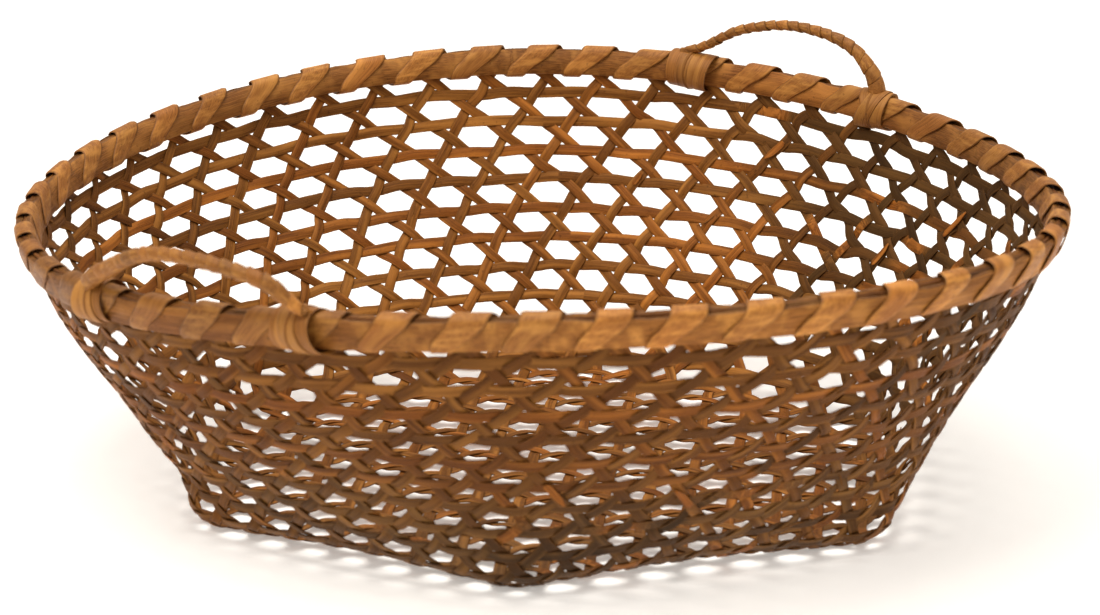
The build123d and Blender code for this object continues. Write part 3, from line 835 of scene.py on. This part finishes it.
def loose_end(bld, c, strand, side, way, length, width, thick, curl, tint, r, stand=1.5):
    """A broken end or fray that leaves the surface at a crossing, side 1 outside."""
    along = c.along[strand] * way
    normal = c.normal * side
    u = np.linspace(0, 1, 12)
    u_col = u[:, None]
    sideways = unit(np.cross(normal, along))
    centre = (c.point + normal * (stand + curl * u_col ** 2) + along * (length * (u_col - .25))
              + sideways * (r.normal(0, .12) * length * u_col ** 2))
    sideways, normal = frames(centre, np.tile(normal, (12, 1)), False)
    taper = np.interp(u, [0, .1, .7, 1], [.5, 1, .95, .35])
    bld.sweep(centre, sideways, normal, splint_section(width * taper, thick), tint,
              start=float(r.random() * 30))


# (weaver row, cell): side (1 outside), way (1 up), length, width, thickness, curl,
# brightness, warmth
BROKEN_ENDS = {
    (8, 0): (-1, -1, 15.0, 4.6, .8, 2.2, 3.6, 1.0),
    (6, 46): (-1, 1, 9.0, 3.2, .7, 1.0, 3.0, .9),
    (7, 5): (-1, 1, 22.0, 4.4, .7, .8, 3.2, 1.0),
    (5, 4): (-1, 1, 16.0, 4.0, .7, .8, 2.4, .9),
    (3, 19): (1, 1, 20.0, 4.6, .7, .8, 3.0, .9),
    (4, 21): (1, -1, 18.0, 4.6, .7, .8, 2.4, .9),
}
FRAY_WIDTH, FRAY_THICK, FRAY_STAND = .8, .45, 1.1


def broken_ends(bld, strand, r):
    for place, (side, way, length, width, thick, curl, bright, warmth) in BROKEN_ENDS.items():
        c = clockwise_on_weaver[place]
        if strand in c.faces:
            up = way * (1 if c.along[strand][2] > 0 else -1)
            loose_end(bld, c, strand, side, up, length, width, thick, curl,
                      (bright, warmth, 0, 0), r)


def frays(bld, strand, r):
    own = on_strand(strand)
    for _ in range(3):
        c = own[int(r.integers(2, len(own) - 2))]
        side = 1 if r.random() < .6 else -1
        way = r.choice([-1, 1])
        length = 5 + 8 * r.random()
        curl = .8 + 2.6 * r.random()
        if .8 < c.level < 8.2 and r.random() < .55:
            loose_end(bld, c, strand, side, way, length, FRAY_WIDTH, FRAY_THICK, curl,
                      (r.normal(.5, 1.2), .6, .1, 0), r, stand=FRAY_STAND)


def stake_pair(direction, row):
    """The two stakes at the same distance either side of the middle."""
    bld = Builder()
    for i, stake in enumerate(stakes):
        if stake.direction == direction and stake.row in (row, -1 - row):
            r = np.random.default_rng(1000 + i)
            splint(bld, ("stake", i), r, STAKE_WIDTH)
            broken_ends(bld, ("stake", i), r)
            frays(bld, ("stake", i), r)
    bld.finish("stake_pair_%s%d" % ("abc"[direction], row + 1), "wall_splint")


def wall_weaver(row):
    bld = Builder()
    splint(bld, ("weaver", row), np.random.default_rng(2000 + row), WEAVER_WIDTH)
    bld.finish("wall_weaver_%02d" % (row + 1), "wall_splint")


for d in range(3):
    for row in range(CELLS_PER_SIDE):
        stake_pair(d, row)
for row in range(ROWS):
    wall_weaver(row)

# ------------------------------------------------------------------- the rim
RIM_SAMPLES = 960


def rim_frame(cell):
    """Centre, outward and upward directions of the rim."""
    along = unit(wall(cell + .05, RIM_LEVEL) - wall(cell - .05, RIM_LEVEL))
    up = wall(cell, RIM_LEVEL + .3) - wall(cell, RIM_LEVEL - .5)
    up -= along * float(up @ along)
    up = unit(up)
    centre = wall(cell, RIM_LEVEL) + LIFT
    out = np.cross(up, along)
    if float(out @ np.array([centre[0], centre[1], 0])) < 0:
        out = -out
    return centre, out, up


rim_table = [np.array(column) for column in
             zip(*(rim_frame(i * CELLS / RIM_SAMPLES) for i in range(RIM_SAMPLES)))]


def rim_at(cells):
    """Centres, outward and upward directions of the rim at an array of cell places."""
    x = (np.asarray(cells, float) % CELLS) * RIM_SAMPLES / CELLS
    i = np.floor(x).astype(int) % RIM_SAMPLES
    f = (x - np.floor(x))[:, None]
    i2 = (i + 1) % RIM_SAMPLES
    centre, out, up = (column[i] * (1 - f) + column[i2] * f for column in rim_table)
    return centre, unit(out), unit(up)


def rim_painted_light_and_shade(centre, back, front):
    """Painted light and shade on the rim: brighter to the back by `back`; at the front it
    grows from `front` to the right.
    """
    x, y = centre[:, 0], centre[:, 1]
    return (back * smooth_step(0, 200, y)
            + smooth_step(20, 150, -y) * (front + 4.0 * smooth_step(-190, 90, x)))


def rim_age(centre):
    """1 at the right of the rim."""
    return smooth_step(150, 250, centre[:, 0]) * smooth_step(-90, 40, centre[:, 1])


HOOP_THICK = 3.0
HOOP_OFFSET = 3.1             # from the rim's centre line to the middle of a hoop
HOOP_BOTTOM = -8.3
# side (-1 inner face, 1 outer), share of the height, rise from there, bulge, place in grain
HOOP_SECTION = [(-1, 0, .384, 0, .08), (-1, .5, 0, -.12, .5), (-1, 1, -.384, 0, .92),
                (-.45, 1, 0, 0, .99), (.45, 1, 0, 0, .99), (1, 1, -.384, 0, .9),
                (1, 0, .384, 0, .1), (0, 0, 0, 0, .02)]


def hoop(name, offset, top_height, seed):
    r = np.random.default_rng(seed)
    n = RIM_SAMPLES
    centre, out, up = rim_at(np.arange(n) * CELLS / n)
    top = top_height + wander(n, .35, 34, True, r) + wander(n, .22, 120, True, r)
    bottom = HOOP_BOTTOM + wander(n, .25, 30, True, r)
    skew = wander(n, .12, 20, True, r)
    section = np.zeros((n, len(HOOP_SECTION), 2))
    for q, (side, share, rise, bulge, _) in enumerate(HOOP_SECTION):
        section[:, q, 0] = offset + side * HOOP_THICK / 2 + skew + bulge
        section[:, q, 1] = bottom * (1 - share) + top * share + rise
    tint = np.zeros((n, 4))
    # brightness: a random tone plus painted light and shade by place
    tint[:, 0] = wander(n, .5, 14, True, r) + rim_painted_light_and_shade(centre, back=1.0, front=-1.9)
    tint[:, 1] = .5 + .3 * np.sin(np.arange(n) * .013)
    tint[:, 2] = .35 * rim_age(centre)
    bld = Builder()
    bld.sweep(centre, out, up, section, tint, True, across=[row[-1] for row in HOOP_SECTION])
    bld.finish(name, "rim_cane")


# thin canes lying between the hoops: outward and upward offsets from the rim's centre line
FILLER_CANES = [(-2.4, 5.1), (-1.2, 6.0), (0.1, 6.3), (1.3, 5.9), (2.5, 5.0),
                (-.5, 4.2), (.8, 4.1)]


def rim_filler():
    bld = Builder()
    n = 720
    for q, (outward, upward) in enumerate(FILLER_CANES):
        r = np.random.default_rng(300 + q)
        centre, out, up = rim_at(np.arange(n) * CELLS / n)
        outward = outward + wander(n, .4, 22, True, r) + wander(n, .18, 90, True, r)
        upward = upward + wander(n, .4, 26, True, r) + wander(n, .22, 110, True, r)
        centre = centre + out * outward[:, None] + up * upward[:, None]
        radius = .95 + .25 * r.random() + wander(n, .12, 60, True, r)
        bld.rod(centre, out, up, 6, (radius, radius), [r.normal(0, 1.2), r.random(), 0, 0],
                closed=True)
    bld.finish("rim_filler", "filler_cane")


LASHING_WIDTH, LASHING_THICK = 19.2, .75
LASHING_BOX = (5.0, 9.0, 3.2)      # half width, half height, squareness of one turn
LASHING_PITCH = 2 * pi * 274 / CELLS
LASHING_SAMPLES = 36               # per turn
LASHING_SIDES = np.array([-1, -.86, -.45, 0, .45, .86, 1])


def box_round(phi, a, b, squareness):
    """phi = 0 below the rim, a quarter turn inside it, half a turn on top."""
    s, c = np.sin(phi), np.cos(phi)
    r = (np.abs(s / a) ** squareness + np.abs(c / b) ** squareness) ** (-1 / squareness)
    return -r * s, -r * c


def even_phi(box, turns):
    """Angles that spread samples evenly in distance round the box."""
    fine = np.linspace(0, 2 * pi, 721)
    travelled = path_length(np.column_stack(box_round(fine, *box)))
    return np.interp(turns % 1, travelled / travelled[-1], fine)


def wound_strip(bld, outer, inner, sides, tint, start):
    """Skin a wound splint from its outer and inner lines, one of each per side place."""
    rings = np.stack(outer + inner[::-1], 1)
    centre = rings.mean(1)
    across = np.concatenate([sides, sides[::-1]]) * .5 + .5
    bld.strip(rings, centre, across, tint(centre) if callable(tint) else tint, start=start)


def rim_lashing(name, first, last, seed):
    """A splint wound round the rim from cell first to cell last, one turn to each cell."""
    r = np.random.default_rng(seed)
    q = np.linspace(first, last, int(round((last - first) * LASHING_SAMPLES)) + 1)
    # each turn sits a little early or late and has its own width, slack and brightness
    ids = np.arange(floor(first) - 2, floor(last) + 4)
    count = len(ids)
    per_turn = (r.normal(0, .05, count), r.normal(0, 1.0, count),
                np.abs(r.normal(0, .35, count)), r.normal(0, 1.0, count))
    late, wide, slack, bright = (np.interp(q - ids[0], np.arange(count), y)
                                 for y in per_turn)
    turn = q % 1
    phi = even_phi(LASHING_BOX, turn)
    # most of the way along is gained on the two sides; underneath, the splint narrows
    cell = q + late - .056 * np.sin(4 * pi * turn) + .02 * (1 - np.cos(2 * pi * turn))
    below = .5 + .5 * np.cos(2 * pi * turn)
    width = (LASHING_WIDTH + wide) * (1 - .42 * below ** 3)
    x, y = box_round(phi, *LASHING_BOX)
    normal = unit(np.stack([x / LASHING_BOX[0] ** 2, y / LASHING_BOX[1] ** 2], -1))
    outer, inner = [], []
    for side in LASHING_SIDES:
        centre, out, up = rim_at(cell + side * width / 2 / LASHING_PITCH)
        # slack, a lifted leading edge, and a slight crown across the splint
        gap = (slack * .6 + .5 * max(side, 0) ** 2 * (.4 + .6 * (1 - below))
               + .15 * (1 - side * side))
        thick = LASHING_THICK * (1 if abs(side) < .95 else .35)
        outward, upward = x + normal[:, 0] * gap, y + normal[:, 1] * gap
        inner.append(centre + out * outward[:, None] + up * upward[:, None])
        outer.append(centre + out * (outward + normal[:, 0] * thick)[:, None]
                     + up * (upward + normal[:, 1] * thick)[:, None])

    def tint(centre):
        # brightness: a random tone per turn plus painted light and shade by place
        return np.stack([bright * .8 + rim_painted_light_and_shade(centre, back=.9, front=-2.2),
                         .5 + .25 * np.sin(q * 1.7), .12 * rim_age(centre), 0 * q], -1)

    bld = Builder()
    wound_strip(bld, outer, inner, LASHING_SIDES, tint, start=r.random() * 30)
    bld.finish(name, "lashing_splint")


hoop("rim_hoop_inner", -HOOP_OFFSET, top_height=7.2, seed=31)
hoop("rim_hoop_outer", HOOP_OFFSET, top_height=7.0, seed=32)
rim_filler()
rim_lashing("rim_lashing_first", .05, 24.1, seed=41)
rim_lashing("rim_lashing_second", 23.95, 48.1, seed=42)

# -------------------------------------------------------------------- handles
# The far handle stands at the back right, the near one at the front left. Left and right
# ends are named as seen from the middle of the basket, looking out.
FOOT_UP = 0.3                 # feet above the rim's centre line
FOOT_R = 12.15                # height of the cane above a foot
LOOP_R = 11.6                 # thin loop round the rim at each foot
CORE_R = 1.6
CORE_INSET, WRAP_INSET = 4.0, 5.6
WRAP_PITCH, WRAP_WIDTH, WRAP_THICK = 7.7, 8.9, .6
WRAP_SAMPLES = 20             # per turn
WRAP_SIDES = np.array([-1, -.85, -.4, .0, .4, .85, 1])
BINDING_TURNS, BINDING_ADVANCE, BINDING_THICK = 1.06, .5, .8

# cells: the rim places of the left and right feet; lean: outward lean in degrees
# profile: share of the span from the left foot, height above the feet
# wrap: share of the length, inner radius of the wrap
# bindings: offset along the span, width, sideways lead, radius, slant of each band
HANDLES = {
    "far": SimpleNamespace(
        cells=(3.2, 6.9), lean=-4.0, seed=51, wrap_bright=-.7, binding_bright=-.3,
        profile=[(-.055, FOOT_R - .7), (.0, FOOT_R + 1.0), (.05, 16.0), (.116, 20.9),
                 (.225, 29.6), (.352, 35.7), (.493, 40.0), (.613, 40.9), (.738, 39.5),
                 (.826, 36.6), (.893, 32.0), (.952, 24.5), (.992, FOOT_R + 4.5),
                 (1.0, FOOT_R)],
        wrap=[(0, 1.9), (.1, 2.1), (.35, 2.2), (.5, 2.25), (.65, 2.45), (.85, 3.2),
              (.94, 4.1), (1, 4.6)],
        bindings={
            "left": [(-9.8, 9.8, 1.0, 10.75, 0), (-3.0, 10.0, .8, 11.05, .8),
                     (4.0, 10.0, 1.2, 10.8, 1.6), (10.0, 9.2, 1.0, 11.1, 2.4)],
            "right": [(1.0, 10.6, .6, 10.85, -5.6), (-1.5, 10.0, -.4, 11.45, 5.2),
                      (5.5, 8.6, .8, 10.75, 2.0)]}),
    "near": SimpleNamespace(
        cells=(28.02, 32.02), lean=34.0, seed=52, wrap_bright=-1.0, binding_bright=-.9,
        profile=[(-.07, FOOT_R + 1.5), (-.048, FOOT_R + 3.8), (-.018, 21.6), (.03, 31.0),
                 (.132, 36.6), (.245, 40.0), (.36, 42.3), (.487, 42.6), (.621, 39.2),
                 (.772, 30.2), (.86, 24.0), (.965, FOOT_R + 4.0), (1.0, FOOT_R)],
        wrap=[(0, 2.3), (.1, 3.5), (.3, 3.0), (.5, 2.85), (.7, 3.2), (.9, 3.9), (1, 4.3)],
        bindings={
            "left": [(6.0, 9.6, -.8, 10.75, .8), (-9.5, 10.4, .6, 10.8, 2.6),
                     (-2.6, 11.0, .6, 11.35, 4.2)],
            "right": [(-5.4, 10.6, .6, 10.8, .8), (4.6, 10.6, -.6, 10.95, -1.2),
                      (-.4, 8.6, .8, 11.55, 1.2)]}),
}


def foot_point(cell):
    centre, _, up = rim_at([cell])
    return centre[0] + up[0] * FOOT_UP


class HandleLine:
    """The centre line of a handle's cane and the directions it is built on."""

    def __init__(self, spec):
        self.left, self.right = (foot_point(cell) for cell in spec.cells)
        span = float(np.linalg.norm(self.right - self.left))
        self.along = (self.right - self.left) / span
        middle = (self.left + self.right) / 2
        up = np.array([0, 0, 1.0])
        up -= self.along * float(up @ self.along)
        up = unit(up)
        out = np.cross(self.along, up)
        if float(out @ np.array([middle[0], middle[1], 0])) < 0:
            out = -out
        self.up = up * cos(radians(spec.lean)) + out * sin(radians(spec.lean))
        self.side = np.cross(self.along, self.up)
        line = natural_spline([self.left + self.along * share * span + self.up * height
                               for share, height in spec.profile], 900)
        # run straight on past both ends
        first, last = unit(line[1] - line[0]), unit(line[-1] - line[-2])
        self.line = np.vstack([line[:1] - first * 5.5, line, line[-1:] + last * 5.5])
        self.arc = path_length(self.line)
        self.length = self.arc[-1]

    def point(self, s):
        return np.stack([np.interp(s, self.arc, self.line[:, q]) for q in range(3)], -1)

    def at(self, s):
        """Points and normals at distances s along the line."""
        ahead = unit(self.point(s + .6) - self.point(s - .6))
        return self.point(s), unit(np.cross(ahead, self.side))

    def circle(self, angle):
        """Directions round the axis between the feet, from up towards the side."""
        return np.cos(angle)[:, None] * self.up + np.sin(angle)[:, None] * self.side


def plain_tint(r, bright=0.0):
    return [bright + r.normal(0, .4), .5, 0, 0]


def handle_core(name, hd, r):
    """The cane, with a thin loop round the rim at each end."""
    bld = Builder()
    n = 220
    points, normal = hd.at(np.linspace(CORE_INSET, hd.length - CORE_INSET, n))
    radius = CORE_R + wander(n, .08, 9, False, r)
    bld.rod(points, hd.side, normal, 10, (radius, radius), plain_tint(r))
    n = 72
    out = hd.circle(np.arange(n) * 2 * pi / n)
    for foot in (hd.left, hd.right):
        bld.rod(foot + out * LOOP_R, hd.along, out, 8, (1.1, .7), plain_tint(r), closed=True)
    bld.finish("handle_%s_core" % name, "rim_cane", "handle_" + name)


def handle_wrap(name, hd, spec, r):
    """One splint wound closely, each turn lapping over the last."""
    turns = (hd.length - WRAP_INSET - WRAP_INSET) / WRAP_PITCH
    n = int(turns * WRAP_SAMPLES) + 1
    q = np.linspace(0, turns, n)
    place = WRAP_INSET + q * WRAP_PITCH + wander(n, .7, turns / 2.5, False, r)
    radius = (np.interp(q / turns, *zip(*spec.wrap))
              + wander(n, .06, turns, False, np.random.default_rng(7)))
    phi = (2 * pi * q)[:, None]
    outer, inner = [], []
    for side in WRAP_SIDES:
        points, normal = hd.at(place + side * WRAP_WIDTH / 2)
        # the leading side lies higher, and the splint is slightly crowned
        height = radius + .52 * side + .12 * (1 - side * side)
        out = np.cos(phi) * hd.side + np.sin(phi) * normal
        thick = WRAP_THICK if abs(side) < .95 else .2
        inner.append(points + out * height[:, None])
        outer.append(points + out * (height + thick)[:, None])
    per_turn = r.normal(spec.wrap_bright, .9, int(turns) + 3)
    tint = np.zeros((n, 4))
    tint[:, 0] = np.interp(q, np.arange(len(per_turn)), per_turn)
    tint[:, 1] = .5 + .2 * np.sin(q * 2.1)
    bld = Builder()
    wound_strip(bld, outer, inner, WRAP_SIDES, tint, start=3)
    bld.finish("handle_%s_wrap" % name, "lashing_splint", "handle_" + name)


def band(bld, hd, centre, width, lead, radius, slant, start_angle, tint, r):
    """A flat splint wound just over once round the rim."""
    n = int(64 * BINDING_TURNS) + 1
    q = np.linspace(0, BINDING_TURNS, n)
    angle = 2 * pi * q + start_angle
    shift = (BINDING_ADVANCE * (q - BINDING_TURNS / 2) + lead * np.sin(angle)
             + slant * np.cos(angle))
    out = hd.circle(angle)
    radii = radius + .35 * q + wander(n, .12, 3 * BINDING_TURNS, False, r)
    line = centre + hd.along * shift[:, None] + out * radii[:, None]
    widths = width * (1 + wander(n, .05, 2 * BINDING_TURNS, False, r))
    bld.sweep(line, hd.along, out, splint_section(widths, BINDING_THICK), tint,
              start=float(r.random() * 30))


def handle_binding(name, end, foot, hd, spec, r):
    """Bands that carry the handle's foot round the rim."""
    bld = Builder()
    for offset, width, lead, radius, slant in spec.bindings[end]:
        width = width * (1 + r.normal(0, .04))
        lead = lead + r.normal(0, .3)
        start_angle = pi + r.normal(0, .15)
        band(bld, hd, foot + hd.along * offset, width, lead, radius, slant, start_angle,
             plain_tint(r, spec.binding_bright), r)
    bld.finish("handle_%s_binding_%s" % (name, end), "lashing_splint", "handle_" + name)


for name, spec in HANDLES.items():
    hd = HandleLine(spec)
    r = np.random.default_rng(spec.seed)
    handle_core(name, hd, r)
    handle_wrap(name, hd, spec, r)
    handle_binding(name, "left", hd.left, hd, spec, r)
    handle_binding(name, "right", hd.right, hd, spec, r)

# ------------------------------------------- floor, lights and camera, in metres
FLOOR_XS = (-6.0, -3.0, 0.0, 3.0, 6.0)
FLOOR_YS = (-5.0, -2.5, -1.0, 0.0, 1.0, 2.5, 5.0)


def floor_material():
    """A matt, faintly glowing off-white with slow mottling."""
    mat = bpy.data.materials.new("pale_floor")
    mat.use_nodes = True
    tree = mat.node_tree
    bsdf = tree.nodes["Principled BSDF"]
    bsdf.inputs["Roughness"].default_value = .9
    bsdf.inputs["Specular IOR Level"].default_value = .1
    noise = tree.nodes.new("ShaderNodeTexNoise")
    noise.inputs["Scale"].default_value = 2.0
    mix = tree.nodes.new("ShaderNodeMix")
    mix.data_type = "RGBA"
    mix.inputs[6].default_value = (.86, .83, .785, 1)
    mix.inputs[7].default_value = (.88, .855, .82, 1)
    bsdf.inputs["Emission Color"].default_value = (1, .965, .91, 1)
    bsdf.inputs["Emission Strength"].default_value = .34
    tree.links.new(noise.outputs[0], mix.inputs[0])
    tree.links.new(mix.outputs[2], bsdf.inputs["Base Color"])
    return mat


def build_floor():
    """A flat floor at the lowest point of the basket."""
    z = current_box()[0][2]
    across = len(FLOOR_XS)
    verts = [(x, y, z) for y in FLOOR_YS for x in FLOOR_XS]
    starts = [i * across + j for i in range(len(FLOOR_YS) - 1) for j in range(across - 1)]
    me = bpy.data.meshes.new("floor")
    me.from_pydata(verts, [], [(a, a + 1, a + 1 + across, a + across) for a in starts])
    for polygon in me.polygons:
        polygon.use_smooth = True
    me.materials.append(floor_material())
    ob = bpy.data.objects.new("floor", me)
    bpy.context.scene.collection.objects.link(ob)


def build_world():
    world = bpy.data.worlds.new("studio")
    bpy.context.scene.world = world
    world.use_nodes = True
    background = world.node_tree.nodes["Background"]
    background.inputs["Color"].default_value = (1.0, .985, .96, 1)
    background.inputs["Strength"].default_value = .55


def area_light(name, place, size, power, colour):
    """A rectangular light aimed at the middle of the basket."""
    light = bpy.data.lights.new(name, "AREA")
    light.shape = "RECTANGLE"
    light.size, light.size_y = size
    light.energy = power
    light.color = colour
    ob = bpy.data.objects.new(name, light)
    ob.location = place
    aim = Vector((0, 0, .1)) - Vector(place)
    ob.rotation_euler = aim.to_track_quat("-Z", "Y").to_euler()
    bpy.context.scene.collection.objects.link(ob)


CAMERA_TARGET = Vector((SHIFT_X / 1000, SHIFT_Y / 1000, .162))
CAMERA_DISTANCE = 1.900
CAMERA_ELEVATION = radians(14.0)
AIM_BELOW = 0.0339229156      # the view is centred below the target, radians
AIM_LEFT = 0.00080731176      # and to the left of straight ahead, radians


def build_camera():
    scene = bpy.context.scene
    data = bpy.data.cameras.new("camera")
    camera = bpy.data.objects.new("camera", data)
    scene.collection.objects.link(camera)
    camera.location = CAMERA_TARGET + Vector((0, -CAMERA_DISTANCE * cos(CAMERA_ELEVATION),
                                              CAMERA_DISTANCE * sin(CAMERA_ELEVATION)))
    camera.rotation_euler = (radians(90) - CAMERA_ELEVATION - AIM_BELOW, 0, AIM_LEFT)
    data.sensor_width = 36.0
    data.lens = 113.508
    data.clip_start, data.clip_end = .05, 50
    focus = bpy.data.objects.new("focus", None)
    focus.location = (0, .16, .15)
    scene.collection.objects.link(focus)
    data.dof.use_dof = True
    data.dof.focus_object = focus
    data.dof.aperture_fstop = 13.0
    scene.camera = camera
    scene.view_settings.view_transform = "Standard"


build_floor()
build_world()
area_light("key_soft", place=(-.8, -.8, 2.1), size=(1.4, 1.1), power=30,
           colour=(1, .965, .92))
area_light("top_soft", place=(.2, .5, 2.3), size=(2.0, 1.4), power=27, colour=(1, .98, .95))
area_light("fill_front", place=(1.4, -1.6, .8), size=(1.2, 1.0), power=2,
           colour=(1, .97, .94))
build_camera()
